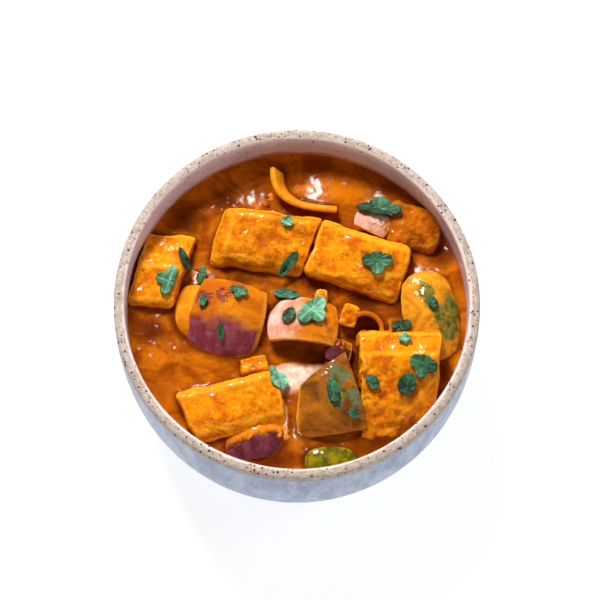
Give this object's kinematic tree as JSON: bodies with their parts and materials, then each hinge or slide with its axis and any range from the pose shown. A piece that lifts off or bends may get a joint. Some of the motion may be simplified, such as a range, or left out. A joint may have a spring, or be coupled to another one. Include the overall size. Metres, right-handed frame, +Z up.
{
  "type": "paneer tikka masala in a bowl",
  "caption": "Curry of paneer blocks, red onion and green pepper in orange gravy with cream and coriander, served in a round speckled stoneware bowl.",
  "frame": {"origin": "centre of the foot ring, on the surface that the bowl stands on", "axes": "+Z up out of the bowl's mouth, -Y towards the side that the eater sits at, +X to the eater's right"},
  "size_m": [0.1418, 0.1418, 0.07],
  "materials": {
    "stoneware": "speckled sand glaze, satin, cooler towards the foot",
    "gravy": "thick tomato and cream gravy, glossy, deeper orange-brown in the hollows",
    "paneer": "fresh cheese coated with bright orange gravy, glossy on the edges",
    "onion": "cooked red onion, purple skin side with pale pink flesh, glossy",
    "coated_onion": "cooked onion coated with orange gravy, glossy",
    "pepper": "cooked green pepper, olive green with orange gravy on it, glossy",
    "cream": "poured cream, pinkish white where it meets the gravy",
    "coriander": "fresh coriander leaf, pale veins, slight sheen"
  },
  "bodies": {
    "root": {"bowl": "stoneware", "gravy": "gravy", "paneer_back_left": "paneer", "paneer_back_right": "paneer", "paneer_left": "paneer", "paneer_front_left": "paneer", "paneer_front_right": "paneer", "paneer_far_right": "paneer", "paneer_crumb_front": "paneer", "paneer_crumb_centre": "paneer", "paneer_crumb_back": "paneer", "paneer_crumb_left": "paneer", "onion_petal_left": "onion", "onion_layer_left": "coated_onion", "onion_petal_centre": "onion", "onion_petal_front": "onion", "onion_petal_back": "coated_onion", "onion_sliver_back": "onion", "onion_sliver_centre": "onion", "onion_ring_centre": "onion", "onion_ring_right": "onion", "pepper_right": "pepper", "pepper_front": "pepper", "pepper_sliver": "pepper", "cream_pool": "cream", "cream_trail": "cream", "coriander_01": "coriander", "coriander_02": "coriander", "coriander_03": "coriander", "coriander_04": "coriander", "coriander_05": "coriander", "coriander_06": "coriander", "coriander_07": "coriander", "coriander_08": "coriander", "coriander_09": "coriander", "coriander_10": "coriander", "coriander_11": "coriander", "coriander_12": "coriander", "coriander_13": "coriander", "coriander_14": "coriander", "coriander_15": "coriander", "coriander_16": "coriander", "coriander_17": "coriander", "coriander_18": "coriander", "coriander_19": "coriander", "coriander_20": "coriander", "coriander_21": "coriander", "coriander_22": "coriander"}
  },
  "joints": []
}
